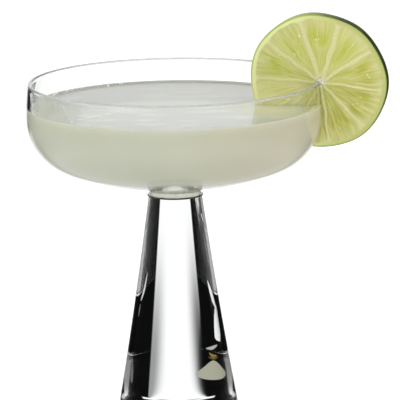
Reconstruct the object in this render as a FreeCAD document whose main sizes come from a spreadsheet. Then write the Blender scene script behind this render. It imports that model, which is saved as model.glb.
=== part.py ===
"""A daiquiri: a wide shallow coupe on a solid conical stem, filled with the
cloudy cocktail, and a lime wheel slotted over the rim.

Millimetres. +Z is up, +X points at the lime, and the origin is the middle of
the flat underside of the foot. Every outline of the glass lies in the XZ plane,
where x is the distance from the axis and z the height.
"""

import FreeCAD, Part
import math
import os

import Sketcher

doc = FreeCAD.newDocument("daiquiri")

# ---------------------------------------------------------------- the sizes
# name, value in millimetres or degrees, meaning
SIZES = (
    ("bowl_radius", 50.0, "outside of the bowl where it is widest"),
    ("lip_height", 11.9, "rim above the widest place"),
    ("lip_radius", 95.0, "gentle inward curve of the lip"),
    ("side_radius", 18.5, "tight curve between the lip and the floor"),
    ("belly_depth", 24.1, "widest place down to the underside of the floor"),
    ("wall", 1.2, "thickness of the bowl's wall"),
    ("neck_radius", 8.6, "short neck between the bowl and the collar"),
    ("neck_height", 2.7, "collar up to the underside of the floor"),
    ("neck_blend", 0.7, "fillet between the neck and the bowl"),
    ("collar_overhang", 0.9, "how far the thin collar stands out past the neck"),
    ("collar_thickness", 0.5, "thickness of the collar"),
    ("collar_ledge", 0.45, "how far it stands out past the top of the stem"),
    ("stem_height", 78.8, "foot up to the collar"),
    ("stem_hollow", 0.41, "how far the stem's side dips in from a straight line"),
    ("foot_radius", 21.45, "underside of the stem"),
    ("foot_round", 0.8, "rounding of the foot's edge"),
    ("headspace", 8.4, "surface of the drink below the rim"),
    ("drink_gap", 0.3, "clearance between the drink and the glass"),
    ("lime_radius", 23.0, "mean radius of the lime wheel"),
    ("lime_oval", 0.6, "how much longer the wheel is along its long axis"),
    ("lime_long_axis", -30.0, "direction of that axis, from +X towards +Z"),
    ("lime_waver", 0.15, "slight flats round the wheel's edge"),
    ("lime_waves", 7, "number of those flats"),
    ("lime_thickness", 5.2, "thickness of the slice"),
    ("rind_width", 2.1, "peel and pith together"),
    ("cell_count", 10, "segments in the slice"),
    ("cell_start", -5.0, "direction of the first membrane"),
    ("cell_waver", 6.0, "how unevenly the membranes are spaced, in degrees"),
    ("membrane", 0.9, "thickness of the skin between two segments"),
    ("core_right", 0.7, "core of the segments to the right of the middle"),
    ("core_down", 0.4, "core of the segments below the middle"),
    ("flesh_sink", 0.3, "flesh below the cut face of the pith"),
    ("lime_gap", 0.3, "clearance round the lime wheel"),
    ("lime_azimuth", -3.0, "place of the wheel on the rim"),
    ("lime_turn", -10.0, "turn of the wheel's face about the upright"),
    ("lime_outward", 0.65, "middle of the wheel outside the middle of the rim"),
    ("lime_lift", 0.0, "middle of the wheel above the rim"),
)

sheet = doc.addObject("Spreadsheet::Sheet", "sizes")
for row, (alias, value, meaning) in enumerate(SIZES, start=1):
    sheet.set(f"A{row}", alias)
    sheet.set(f"B{row}", str(value))
    sheet.set(f"C{row}", meaning)
    sheet.setAlias(f"B{row}", alias)
doc.recompute()

# Heights above the foot, and the radii that follow from the driving sizes.
COLLAR_TOP = "(sizes.stem_height + sizes.collar_thickness)"
FLOOR = f"({COLLAR_TOP} + sizes.neck_height)"
WIDEST = f"({FLOOR} + sizes.belly_depth)"
RIM = f"({WIDEST} + sizes.lip_height)"
LEVEL = f"({RIM} - sizes.headspace)"
SIDE_CENTRE = "(sizes.bowl_radius - sizes.side_radius)"
# The floor's circle is centred on the axis, touches the side's circle from
# inside and passes through the lowest point of the bowl.
FLOOR_RADIUS = (
    f"(({SIDE_CENTRE}^2 + sizes.belly_depth^2 - sizes.side_radius^2)"
    " / (2 * (sizes.belly_depth - sizes.side_radius)))"
)
RIM_RADIUS = (
    "(sizes.bowl_radius - sizes.lip_radius"
    " + sqrt(sizes.lip_radius^2 - sizes.lip_height^2))"
)
LIME_REACH = f"({RIM_RADIUS} - sizes.wall / 2 + sizes.lime_outward)"
COLLAR_RADIUS = "(sizes.neck_radius + sizes.collar_overhang)"
STEM_TOP_RADIUS = f"({COLLAR_RADIUS} - sizes.collar_ledge)"
# The stem's side is an arc over this chord, with the dip as its height.
STEM_CHORD_SQUARED = (
    f"((sizes.foot_radius - {STEM_TOP_RADIUS})^2 + sizes.stem_height^2)"
)
STEM_SIDE_RADIUS = (
    f"(({STEM_CHORD_SQUARED} / 4 + sizes.stem_hollow^2) / (2 * sizes.stem_hollow))"
)
FILL_INSET = "(sizes.wall + sizes.drink_gap)"

START, END, CENTRE = 1, 2, 3  # the points of an arc or a line in a sketch
UPRIGHT_AXIS = -2  # a sketch's own vertical axis
UP = FreeCAD.Vector(0, 0, 1)


def number(expression):
    """The value of an expression over the sheet's sizes."""
    return float(sheet.evalExpression(expression))


# ------------------------------------------------------------ sketch helpers
def section_sketch(body, name):
    """A sketch on the body's own XZ plane."""
    sketch = body.newObject("Sketcher::SketchObject", name)
    planes = [f for f in body.Origin.OriginFeatures if f.Role == "XZ_Plane"]
    sketch.AttachmentSupport = [(planes[0], "")]
    sketch.MapMode = "FlatFace"
    return sketch


def drive(sketch, kind, *where, by):
    """A dimension of the sketch, bound to an expression."""
    index = sketch.addConstraint(Sketcher.Constraint(kind, *where, number(by)))
    sketch.setExpression(f"Constraints[{index}]", by)


def arc(sketch, centre_x, centre_y, radius, first, last):
    """A counter-clockwise arc between two angles in radians."""
    centre = FreeCAD.Vector(centre_x, centre_y, 0)
    circle = Part.Circle(centre, UP, radius)
    return sketch.addGeometry(Part.ArcOfCircle(circle, first, last))


def line(sketch, x1, y1, x2, y2):
    start = FreeCAD.Vector(x1, y1, 0)
    return sketch.addGeometry(Part.LineSegment(start, FreeCAD.Vector(x2, y2, 0)))


def join(sketch, one, one_point, other, other_point):
    sketch.addConstraint(
        Sketcher.Constraint("Coincident", one, one_point, other, other_point)
    )


def on_axis(sketch, piece, point):
    sketch.addConstraint(
        Sketcher.Constraint("PointOnObject", piece, point, UPRIGHT_AXIS)
    )


def level_line(sketch, piece):
    sketch.addConstraint(Sketcher.Constraint("Horizontal", piece))


def bowl_curve(sketch, inset, top, inner_end="0"):
    """The bowl's section, lying inset inside its outer face: floor, side and
    lip, three arcs that run into one another. It ends at the height top, and
    inward at the distance inner_end from the axis. Returns (floor, lip)."""
    side_x, widest = number(SIDE_CENTRE), number(WIDEST)
    side_r = number(f"sizes.side_radius - {inset}")
    floor_r = number(f"{FLOOR_RADIUS} - {inset}")
    lip_r = number(f"sizes.lip_radius - {inset}")
    floor_y = number(f"{FLOOR} + {FLOOR_RADIUS}")
    lip_x = number("sizes.bowl_radius - sizes.lip_radius")
    join_angle = math.atan2(widest - floor_y, side_x)
    floor_start = -math.acos(number(inner_end) / floor_r)
    lip_end = math.asin((number(top) - widest) / lip_r)

    floor = arc(sketch, 0, floor_y, floor_r, floor_start, join_angle)
    side = arc(sketch, side_x, widest, side_r, join_angle, 0)
    lip = arc(sketch, lip_x, widest, lip_r, 0, lip_end)

    drive(sketch, "DistanceX", side, CENTRE, by=SIDE_CENTRE)
    drive(sketch, "DistanceY", side, CENTRE, by=WIDEST)
    drive(sketch, "Radius", side, by=f"sizes.side_radius - {inset}")
    sketch.addConstraint(Sketcher.Constraint("Horizontal", side, CENTRE, side, END))
    on_axis(sketch, floor, CENTRE)
    drive(sketch, "Radius", floor, by=f"{FLOOR_RADIUS} - {inset}")
    sketch.addConstraint(Sketcher.Constraint("Tangent", side, START, floor, END))
    sketch.addConstraint(Sketcher.Constraint("Tangent", side, END, lip, START))
    drive(sketch, "Radius", lip, by=f"sizes.lip_radius - {inset}")
    drive(sketch, "DistanceY", lip, END, by=top)
    if number(inner_end) == 0:
        on_axis(sketch, floor, START)
    else:
        drive(sketch, "DistanceX", floor, START, by=inner_end)
    return floor, lip


def end_of(sketch, piece, point):
    place = sketch.getPoint(piece, point)
    return place.x, place.y


def close_to_axis(sketch, floor, lip):
    """Shuts a bowl curve with a level top and a line down the axis."""
    rim_x, top_y = end_of(sketch, lip, END)
    floor_y = end_of(sketch, floor, START)[1]
    top = line(sketch, rim_x, top_y, 0, top_y)
    axis = line(sketch, 0, top_y, 0, floor_y)
    join(sketch, lip, END, top, START)
    join(sketch, top, END, axis, START)
    join(sketch, axis, END, floor, START)
    level_line(sketch, top)
    on_axis(sketch, top, END)


def box_sketch(sketch, width, bottom, height):
    """A rectangle standing on the axis, from the height bottom."""
    wide, low = number(width), number(bottom)
    high = low + number(height)
    corners = ((0, low), (wide, low), (wide, high), (0, high))
    sides = [
        line(sketch, *corners[i], *corners[(i + 1) % len(corners)])
        for i in range(len(corners))
    ]
    for i, side in enumerate(sides):
        join(sketch, side, END, sides[(i + 1) % len(sides)], START)
    base, right, top, axis = sides
    level_line(sketch, base)
    level_line(sketch, top)
    sketch.addConstraint(Sketcher.Constraint("Vertical", right))
    on_axis(sketch, axis, START)
    on_axis(sketch, axis, END)
    drive(sketch, "DistanceX", base, END, by=width)
    drive(sketch, "DistanceY", base, END, by=bottom)
    drive(sketch, "DistanceY", right, START, right, END, by=height)


def turned(body, sketch, kind, name):
    """A full turn of the sketch about the upright axis: kind is Revolution, which
    adds, or Groove, which cuts."""
    before = body.Shape.Volume if kind == "Groove" else 0.0
    feature = body.newObject(f"PartDesign::{kind}", name)
    feature.Profile = (sketch, [""])
    feature.ReferenceAxis = (sketch, ["V_Axis"])
    feature.Angle = 360
    doc.recompute()
    changed = body.Shape.Volume - before
    if (changed >= 0) == (kind == "Groove"):
        raise RuntimeError(f"{name} changed the volume by {changed:.1f} mm3")
    return feature


def ring_edge(shape, radius, height):
    """The name of the circular edge with this radius at this height."""
    for index, edge in enumerate(shape.Edges, start=1):
        circle = edge.Curve
        if not isinstance(circle, Part.Circle):
            continue
        same_radius = abs(circle.Radius - radius) < 1e-4
        same_height = abs(circle.Center.z - height) < 1e-4
        if same_radius and same_height:
            return f"Edge{index}"
    raise RuntimeError(f"no ring of radius {radius:.3f} at height {height:.3f}")


def rounded(body, name, edges, by):
    """Rounds ring edges, each given as (radius, height)."""
    base = body.Tip
    feature = body.newObject("PartDesign::Fillet", name)
    feature.Base = (base, [ring_edge(base.Shape, *place) for place in edges])
    feature.Radius = number(by)
    feature.setExpression("Radius", by)
    doc.recompute()
    return feature


# ------------------------------------------------------------------- glass
def make_glass():
    """Stem, collar, neck and bowl are one piece of glass: a turned solid, with
    the inside of the bowl turned out of it."""
    body = doc.addObject("PartDesign::Body", "glass")
    outside = section_sketch(body, "glass_outside")
    foot_r = number("sizes.foot_radius")
    stem_r, stem_y = number(STEM_TOP_RADIUS), number("sizes.stem_height")
    collar_r, collar_y = number(COLLAR_RADIUS), number(COLLAR_TOP)
    neck_r = number("sizes.neck_radius")

    floor, lip = bowl_curve(outside, "0", RIM, inner_end="sizes.neck_radius")
    neck_top = end_of(outside, floor, START)[1]
    rim_x, rim_y = end_of(outside, lip, END)

    foot = line(outside, 0, 0, foot_r, 0)
    side_r = number(STEM_SIDE_RADIUS)
    # The arc's centre lies outside the stem, level with the chord's middle.
    chord = FreeCAD.Vector(stem_r - foot_r, stem_y, 0)
    outward = FreeCAD.Vector(chord.y, -chord.x, 0).normalize()
    middle = FreeCAD.Vector((stem_r + foot_r) / 2, stem_y / 2, 0)
    centre = middle + outward * (side_r - number("sizes.stem_hollow"))
    to_top = math.atan2(stem_y - centre.y, stem_r - centre.x) % (2 * math.pi)
    to_foot = math.atan2(-centre.y, foot_r - centre.x) % (2 * math.pi)
    stem = arc(outside, centre.x, centre.y, side_r, to_top, to_foot)
    ledge = line(outside, stem_r, stem_y, collar_r, stem_y)
    collar = line(outside, collar_r, stem_y, collar_r, collar_y)
    collar_face = line(outside, collar_r, collar_y, neck_r, collar_y)
    neck = line(outside, neck_r, collar_y, neck_r, neck_top)
    top = line(outside, rim_x, rim_y, 0, rim_y)
    axis = line(outside, 0, rim_y, 0, 0)

    chain = (
        (foot, END, stem, END),
        (stem, START, ledge, START),
        (ledge, END, collar, START),
        (collar, END, collar_face, START),
        (collar_face, END, neck, START),
        (neck, END, floor, START),
        (lip, END, top, START),
        (top, END, axis, START),
        (axis, END, foot, START),
    )
    for corner in chain:
        join(outside, *corner)
    for flat in (foot, ledge, collar_face, top):
        level_line(outside, flat)
    for upright in (collar, neck, axis):
        outside.addConstraint(Sketcher.Constraint("Vertical", upright))
    join(outside, foot, START, -1, START)
    drive(outside, "DistanceX", foot, END, by="sizes.foot_radius")
    drive(outside, "Radius", stem, by=STEM_SIDE_RADIUS)
    drive(outside, "DistanceX", stem, START, by=STEM_TOP_RADIUS)
    drive(outside, "DistanceY", stem, START, by="sizes.stem_height")
    drive(outside, "DistanceX", collar, END, by=COLLAR_RADIUS)
    drive(outside, "DistanceY", collar, END, by=COLLAR_TOP)
    turned(body, outside, "Revolution", "glass_turned")

    inside = section_sketch(body, "glass_inside")
    inner_floor, inner_lip = bowl_curve(inside, "sizes.wall", RIM)
    close_to_axis(inside, inner_floor, inner_lip)
    turned(body, inside, "Groove", "bowl_turned_out")

    inner_rim_x = end_of(inside, inner_lip, END)[0]
    rounded(body, "foot_rounding", [(foot_r, 0.0)], "sizes.foot_round")
    rounded(body, "neck_fillet", [(neck_r, neck_top)], "sizes.neck_blend")
    rounded(
        body,
        "fire_polished_rim",
        [(rim_x, rim_y), (inner_rim_x, rim_y)],
        "sizes.wall * 0.45",
    )
    return body


# -------------------------------------------------------------------- lime
def wheel_radius(angle):
    """The wheel's outer radius in a direction, in radians from +X to +Z: an oval
    with slight flats."""
    oval = number("sizes.lime_oval") * math.cos(
        2 * (angle - math.radians(number("sizes.lime_long_axis")))
    )
    waves = number("sizes.lime_waves")
    waver = number("sizes.lime_waver") * math.cos(waves * angle)
    return number("sizes.lime_radius") + oval + waver


def wheel_disc(name, grow, thickness):
    """A slice with the wheel's outline, grown by a distance, lying in the XZ
    plane about the origin. The outline is no conic, so the shape is set here."""
    points = []
    steps = 48
    for step in range(steps):
        angle = 2 * math.pi * step / steps
        radius = wheel_radius(angle) + grow
        points.append(
            FreeCAD.Vector(
                radius * math.cos(angle), -thickness / 2, radius * math.sin(angle)
            )
        )
    edge = Part.BSplineCurve()
    edge.interpolate(points, PeriodicFlag=True)
    face = Part.Face(Part.Wire([edge.toShape()]))
    disc = doc.addObject("Part::Feature", name)
    disc.Shape = face.extrude(FreeCAD.Vector(0, thickness, 0))
    return disc


def wheel_placement():
    """Stands the wheel on the rim, turned a little towards the front."""
    azimuth = math.radians(number("sizes.lime_azimuth"))
    reach = number(LIME_REACH)
    place = FreeCAD.Vector(
        reach * math.cos(azimuth),
        reach * math.sin(azimuth),
        number(f"{RIM} + sizes.lime_lift"),
    )
    return FreeCAD.Placement(place, FreeCAD.Rotation(UP, number("sizes.lime_turn")))


def membrane_direction(index):
    """The direction of a membrane in degrees: evenly spaced, then shifted, so
    that the segments are narrower on one side of the wheel."""
    turn = (index - 0.5) / number("sizes.cell_count")
    shift = number("sizes.cell_waver") * math.sin(2 * math.pi * turn)
    even = index * 360.0 / number("sizes.cell_count")
    return number("sizes.cell_start") + even + shift


def make_cell(index):
    """One segment's place, cut through the slice: a sector of a cylinder, moved
    out from the core by the half membrane on each side of it."""
    first, last = membrane_direction(index), membrane_direction(index + 1)
    middle, half = (first + last) / 2, (last - first) / 2
    out = f"(sizes.membrane / 2 / sin({half} deg))"
    cell = doc.addObject("Part::Cylinder", f"cell_{index + 1}")
    cell.setExpression(
        "Radius",
        f"sizes.lime_radius - sizes.rind_width - {out}"
        f" + sizes.lime_oval * cos(({2 * middle} - 2 * sizes.lime_long_axis) * 1 deg)"
        f" - sizes.core_right * cos({middle} deg) + sizes.core_down * sin({middle} deg)",
    )
    cell.setExpression("Height", "sizes.lime_thickness * 2")
    cell.Angle = last - first
    tip = number(out)
    middle_rad = math.radians(middle)
    place = FreeCAD.Vector(
        number("sizes.core_right") + tip * math.cos(middle_rad),
        number("sizes.lime_thickness"),
        -number("sizes.core_down") + tip * math.sin(middle_rad),
    )
    upright = FreeCAD.Rotation(FreeCAD.Vector(1, 0, 0), 90)
    swing = FreeCAD.Rotation(UP, first)
    cell.Placement = FreeCAD.Placement(place, upright.multiply(swing))
    return cell


def make_lime_wheel(wall_room):
    """Peel, pith, core and membranes stand a little proud of the flesh, and the
    slit follows the glass wall from the rim down."""
    thickness = number("sizes.lime_thickness")
    slice_disc = wheel_disc("slice_disc", 0.0, thickness)
    cells = doc.addObject("Part::MultiFuse", "cells")
    cells.Shapes = [make_cell(i) for i in range(int(number("sizes.cell_count")))]
    frame = doc.addObject("Part::Cut", "pith_and_membranes")
    frame.Base, frame.Tool = slice_disc, cells
    flesh_thickness = thickness - 2 * number("sizes.flesh_sink")
    flesh = wheel_disc("flesh_disc", -number("sizes.rind_width") / 2, flesh_thickness)
    whole = doc.addObject("Part::Fuse", "whole_slice")
    whole.Base, whole.Tool = frame, flesh
    whole.Placement = wheel_placement()
    wheel = doc.addObject("Part::Cut", "lime_wheel")
    wheel.Base, wheel.Tool = whole, wall_room
    return wheel


def make_wall_room():
    """The space that the bowl's wall takes out of the lime, with a clearance on
    each side and over the rim."""
    body = doc.addObject("PartDesign::Body", "wall_room")
    sketch = section_sketch(body, "wall_room_section")
    top = f"({RIM} + sizes.lime_gap)"
    outer_floor, outer_lip = bowl_curve(sketch, "(0 - sizes.lime_gap)", top)
    inner_floor, inner_lip = bowl_curve(sketch, "(sizes.wall + sizes.lime_gap)", top)
    cap = line(
        sketch, *end_of(sketch, outer_lip, END), *end_of(sketch, inner_lip, END)
    )
    axis = line(
        sketch, *end_of(sketch, inner_floor, START), *end_of(sketch, outer_floor, START)
    )
    join(sketch, outer_lip, END, cap, START)
    join(sketch, cap, END, inner_lip, END)
    join(sketch, inner_floor, START, axis, START)
    join(sketch, axis, END, outer_floor, START)
    turned(body, sketch, "Revolution", "wall_room_turned")
    return body


# ------------------------------------------------------------------- drink
def make_daiquiri():
    """The drink fills the bowl up to its level, all round the lime."""
    body = doc.addObject("PartDesign::Body", "filling")
    sketch = section_sketch(body, "filling_section")
    close_to_axis(sketch, *bowl_curve(sketch, FILL_INSET, RIM))
    turned(body, sketch, "Revolution", "brimful")
    headspace = section_sketch(body, "headspace_section")
    box_sketch(headspace, "sizes.bowl_radius", LEVEL, "sizes.headspace * 2")
    turned(body, headspace, "Groove", "headspace_taken_off")
    gap = number("sizes.lime_gap")
    thickness = number("sizes.lime_thickness") + 2 * gap
    lime_room = wheel_disc("lime_room", gap, thickness)
    lime_room.Placement = wheel_placement()
    drink = doc.addObject("Part::Cut", "daiquiri")
    drink.Base, drink.Tool = body, lime_room
    return drink


glass = make_glass()
daiquiri = make_daiquiri()
lime_wheel = make_lime_wheel(make_wall_room())
doc.recompute()

# ------------------------------------------------------------------ output
for item in doc.Objects:
    if "Invalid" in item.State or "Error" in item.State:
        raise RuntimeError(f"{item.Name} failed: {item.State}")

nodes = {"glass": glass, "daiquiri": daiquiri, "lime_wheel": lime_wheel}
for name, item in nodes.items():
    item.Label = name
    shape = item.Shape
    if shape.isNull() or not shape.isValid():
        raise RuntimeError(f"{name} has no valid shape")
    if len(shape.Solids) != 1:
        raise RuntimeError(f"{name} has {len(shape.Solids)} solids")

os.makedirs("parts", exist_ok=True)
for name, item in nodes.items():
    shape = item.Shape
    shape.exportStep(os.path.join("parts", f"{name}.step"))
    box = shape.optimalBoundingBox(False)
    print(
        f"{name}: {shape.Volume / 1000:.2f} cm3,"
        f" x {box.XMin:.2f} to {box.XMax:.2f}, y {box.YMin:.2f} to {box.YMax:.2f},"
        f" z {box.ZMin:.2f} to {box.ZMax:.2f}"
    )
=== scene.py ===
# %% [markdown]
# # A daiquiri in a coupe, with a lime wheel
# This lesson builds the looks of a cocktail: a clear pressed-glass coupe on a
# solid conical stem, a cloudy drink in it, and a slice of lime on its rim. The
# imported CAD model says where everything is, so every length below is the real
# one. Blender works in metres, and the sizes are easier to read in millimetres.

import functools
import math
import random

import bpy
from mathutils import Matrix, Vector, noise


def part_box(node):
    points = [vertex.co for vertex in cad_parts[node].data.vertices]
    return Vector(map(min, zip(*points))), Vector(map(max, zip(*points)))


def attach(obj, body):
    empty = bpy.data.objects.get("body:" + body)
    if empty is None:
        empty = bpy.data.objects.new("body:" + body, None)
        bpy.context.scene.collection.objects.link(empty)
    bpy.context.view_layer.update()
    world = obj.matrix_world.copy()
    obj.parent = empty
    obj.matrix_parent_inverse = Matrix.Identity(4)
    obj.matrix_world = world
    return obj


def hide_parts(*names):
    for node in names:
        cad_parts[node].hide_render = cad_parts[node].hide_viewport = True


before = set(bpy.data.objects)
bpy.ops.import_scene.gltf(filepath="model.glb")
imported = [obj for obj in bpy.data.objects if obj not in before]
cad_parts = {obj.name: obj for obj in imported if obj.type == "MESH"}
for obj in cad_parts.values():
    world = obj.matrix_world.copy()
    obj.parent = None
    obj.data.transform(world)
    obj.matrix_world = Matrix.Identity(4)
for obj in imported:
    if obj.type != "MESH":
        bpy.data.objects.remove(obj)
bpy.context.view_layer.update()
MM = 0.001
print("nodes:", sorted(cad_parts))

# %% [markdown]
# ## Helpers
# An operator acts on everything that is selected, so each step first clears the
# selection. A finished piece keeps its place in its mesh, with its object at the
# origin, rides on a body, and hides the CAD node it stands in for.


# %% Select, edit and finish
def clear_selection():
    """Leaves edit mode and selects nothing."""
    if bpy.context.object and bpy.context.object.mode != "OBJECT":
        bpy.ops.object.mode_set(mode="OBJECT")
    bpy.ops.object.select_all(action="DESELECT")


def work_on(piece):
    """Makes one piece the selected and active one."""
    clear_selection()
    piece.select_set(True)
    bpy.context.view_layer.objects.active = piece


def edit(piece):
    """Opens one piece in edit mode, with all of it selected."""
    work_on(piece)
    bpy.ops.object.mode_set(mode="EDIT")
    bpy.ops.mesh.select_all(action="SELECT")


def leave_edit():
    """Goes back to object mode, which brings the drawing into the mesh."""
    bpy.ops.object.mode_set(mode="OBJECT")


def finish_piece(piece, name, node=None):
    """Names a piece, settles its place in its mesh and ties it to the model."""
    work_on(piece)
    bpy.ops.object.transform_apply(location=True, rotation=True, scale=True)
    piece.name = name
    piece.data.name = name
    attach(piece, "root")
    if node:
        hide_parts(node)
    triangles = sum(len(face.vertices) - 2 for face in piece.data.polygons)
    print(name, "has", triangles, "triangles")


print("finished pieces will ride on the root body")

# %% [markdown]
# Colours are easy to note as sRGB hex, as a colour picker shows them. Shaders
# count in linear light, so one function turns the one into the other.


# %% Colours
def linear(hex_colour):
    """An sRGB hex colour as the linear RGBA that shaders count in."""
    out = []
    for start in (0, 2, 4):
        value = int(hex_colour[start : start + 2], 16) / 255
        if value <= 0.04045:
            out.append(value / 12.92)
        else:
            out.append(((value + 0.055) / 1.055) ** 2.4)
    return (*out, 1.0)


print("middle grey 808080 is", round(linear("808080")[0], 3), "of white in linear light")

# %% [markdown]
# A material is a tree of nodes. Most of them here do one of three things: a Map
# Range turns a smooth run of one value into another, a Mix blends two colours or
# values by a share, and a Math node does one step of arithmetic. One function
# adds any node, and is given for each new material's own tree as add. The kinds
# used over and over have short names that hold the kind and its settings.

# %% Shader nodes
SMOOTH_RUN = ("ShaderNodeMapRange", {"interpolation_type": "SMOOTHSTEP"})
COLOUR_MIX = ("ShaderNodeMix", {"data_type": "RGBA"})
VALUE_MIX = ("ShaderNodeMix", {"data_type": "FLOAT"})
ABSOLUTE = ("ShaderNodeMath", {"operation": "ABSOLUTE"})
ADD = ("ShaderNodeMath", {"operation": "ADD"})
SUBTRACT = ("ShaderNodeMath", {"operation": "SUBTRACT"})
MULTIPLY = ("ShaderNodeMath", {"operation": "MULTIPLY"})
DIVIDE = ("ShaderNodeMath", {"operation": "DIVIDE"})
MINIMUM = ("ShaderNodeMath", {"operation": "MINIMUM"})
MAXIMUM = ("ShaderNodeMath", {"operation": "MAXIMUM"})
ARCTAN2 = ("ShaderNodeMath", {"operation": "ARCTAN2"})
DEGREES = ("ShaderNodeMath", {"operation": "DEGREES"})
LESS_THAN = ("ShaderNodeMath", {"operation": "LESS_THAN"})
GREATER_THAN = ("ShaderNodeMath", {"operation": "GREATER_THAN"})


def add_node(tree, kind, settings=None, *values, **inputs):
    """Adds a shader node. Settings are its own fields. Values fill the inputs it
    uses, in order; other inputs are named, with _ for a space. Each is a value,
    an sRGB hex colour, a node's output, or a node for its first used output."""
    node = tree.nodes.new(kind)
    for field, value in (settings or {}).items():
        setattr(node, field, value)
    given = list(zip([socket for socket in node.inputs if socket.enabled], values))
    given += [(node.inputs[name.replace("_", " ")], value) for name, value in inputs.items()]
    for socket, value in given:
        if isinstance(value, str):
            value = linear(value)
        if isinstance(value, bpy.types.Node):
            value = next(output for output in value.outputs if output.enabled)
        if isinstance(value, bpy.types.NodeSocket):
            tree.links.new(value, socket)
        else:
            socket.default_value = value
    return node


def new_material(name):
    """An empty material, and add_node for its own tree."""
    material = bpy.data.materials.new(name)
    material.use_nodes = True
    material.node_tree.nodes.clear()
    return material, functools.partial(add_node, material.node_tree)


def coat(piece, material, shader):
    """Ends a material with its shader, and gives the piece one more material."""
    add_node(material.node_tree, "ShaderNodeOutputMaterial", Surface=shader)
    piece.data.materials.append(material)
    print(material.name, "has", len(material.node_tree.nodes), "nodes")


print("smooth runs use", SMOOTH_RUN[1]["interpolation_type"])

# %% [markdown]
# ## The glass
# A coupe like this is pressed and fire-polished in one piece: a solid cone for a
# stem, a thin sharp collar, a short neck and a wide shallow bowl. It is turned
# about its upright axis, so half of its section is drawn and spun round. A pen is
# enough to draw it: extruding a vertex draws a straight line, and spinning a
# vertex about a point draws an arc.

# %% Sizes of the glass, in millimetres
BOWL_RADIUS = 50.0
LIP_HEIGHT = 11.9
LIP_RADIUS = 95.0
SIDE_RADIUS = 18.5
BELLY_DEPTH = 24.1
WALL = 1.2
NECK_RADIUS = 8.6
NECK_BLEND = 0.7
COLLAR_RADIUS = 9.5
COLLAR_BOTTOM = 78.8
COLLAR_TOP = 79.3
COLLAR_ROUND = 0.24
STEM_TOP_RADIUS = 9.05
STEM_HOLLOW = 0.41
FOOT_RADIUS = 21.45
FOOT_ROUND = 0.8
FLOOR_HEIGHT = 82.0
WIDEST = FLOOR_HEIGHT + BELLY_DEPTH
RIM = WIDEST + LIP_HEIGHT
SIDE_CENTRE = BOWL_RADIUS - SIDE_RADIUS
LIP_CENTRE = BOWL_RADIUS - LIP_RADIUS
# The floor's sphere touches the side's arc from outside and sits on the axis.
FLOOR_RADIUS = (SIDE_CENTRE**2 + BELLY_DEPTH**2 - SIDE_RADIUS**2) / (
    2 * (BELLY_DEPTH - SIDE_RADIUS)
)
FLOOR_CENTRE = FLOOR_HEIGHT + FLOOR_RADIUS
JOIN_ANGLE = math.atan2(WIDEST - FLOOR_CENTRE, SIDE_CENTRE)
LIP_ANGLE = math.asin(LIP_HEIGHT / LIP_RADIUS)
print(f"rim at {RIM:.1f} mm, floor sphere {FLOOR_RADIUS:.2f} mm")
assert abs(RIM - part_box("glass")[1][2] / MM) < 0.1

# %% [markdown]
# The pen is one vertex in edit mode, in the plane of X and Z. Its object keeps
# the pen's place, so each stroke only says where it goes, in millimetres.

# %% A pen that draws with operators
SAME_PLACE = 0.002 * MM
CORNER_STEPS = 6


def pen_down(radius, height):
    """Starts a drawing with one vertex."""
    clear_selection()
    bpy.ops.mesh.primitive_plane_add(size=MM, location=(0, 0, 0))
    piece = bpy.context.object
    edit(piece)
    bpy.ops.mesh.merge(type="CENTER")
    bpy.ops.transform.translate(value=(radius * MM, 0, height * MM))
    piece["pen"] = (radius, height)
    return piece


def pen_line(piece, radius, height):
    """Draws a straight line to a place."""
    step = (radius - piece["pen"][0], 0, height - piece["pen"][1])
    bpy.ops.mesh.extrude_region_move(
        TRANSFORM_OT_translate={"value": [part * MM for part in step]}
    )
    piece["pen"] = (radius, height)


def pen_arc(piece, centre, turn, steps):
    """Draws an arc about a centre. The turn is in radians, from +X to +Z."""
    x, z = (piece["pen"][i] - centre[i] for i in (0, 1))
    bpy.ops.mesh.spin(
        steps=steps,
        angle=turn,
        center=(centre[0] * MM, 0, centre[1] * MM),
        axis=(0, 1, 0),
    )
    cos, sin = math.cos(turn), math.sin(turn)
    piece["pen"] = (centre[0] + x * cos - z * sin, centre[1] + x * sin + z * cos)


def round_corner(piece, radius, height, size):
    """Rounds the drawn corner that lies at a place."""
    bpy.ops.mesh.select_all(action="DESELECT")
    leave_edit()
    spot = Vector((radius * MM, 0, height * MM))
    near = min(piece.data.vertices, key=lambda v: (v.co - spot).length)
    for vertex in piece.data.vertices:
        vertex.select = vertex.index == near.index
    bpy.ops.object.mode_set(mode="EDIT")
    bpy.ops.mesh.bevel(
        offset=size * MM, offset_type="OFFSET", segments=CORNER_STEPS, affect="VERTICES"
    )


def turn_round(piece, steps):
    """Spins the drawing about the upright axis into a closed shell."""
    bpy.ops.mesh.select_all(action="SELECT")
    bpy.ops.mesh.spin(steps=steps, angle=2 * math.pi, center=(0, 0, 0), axis=(0, 0, 1))
    bpy.ops.mesh.select_all(action="SELECT")
    bpy.ops.mesh.remove_doubles(threshold=SAME_PLACE)
    bpy.ops.mesh.normals_make_consistent(inside=False)
    leave_edit()


print("points closer than", SAME_PLACE / MM, "mm become one")

# %% [markdown]
# The outside is drawn from the foot up: the stem's side is one long arc that
# dips in a little, the collar is a thin sheet, and the bowl's floor, side and lip
# are three arcs that touch. The inside comes back down about the same centres,
# so the wall is even. Last, the corners are rounded as fire polishing rounds
# them, and the section is turned.

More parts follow.
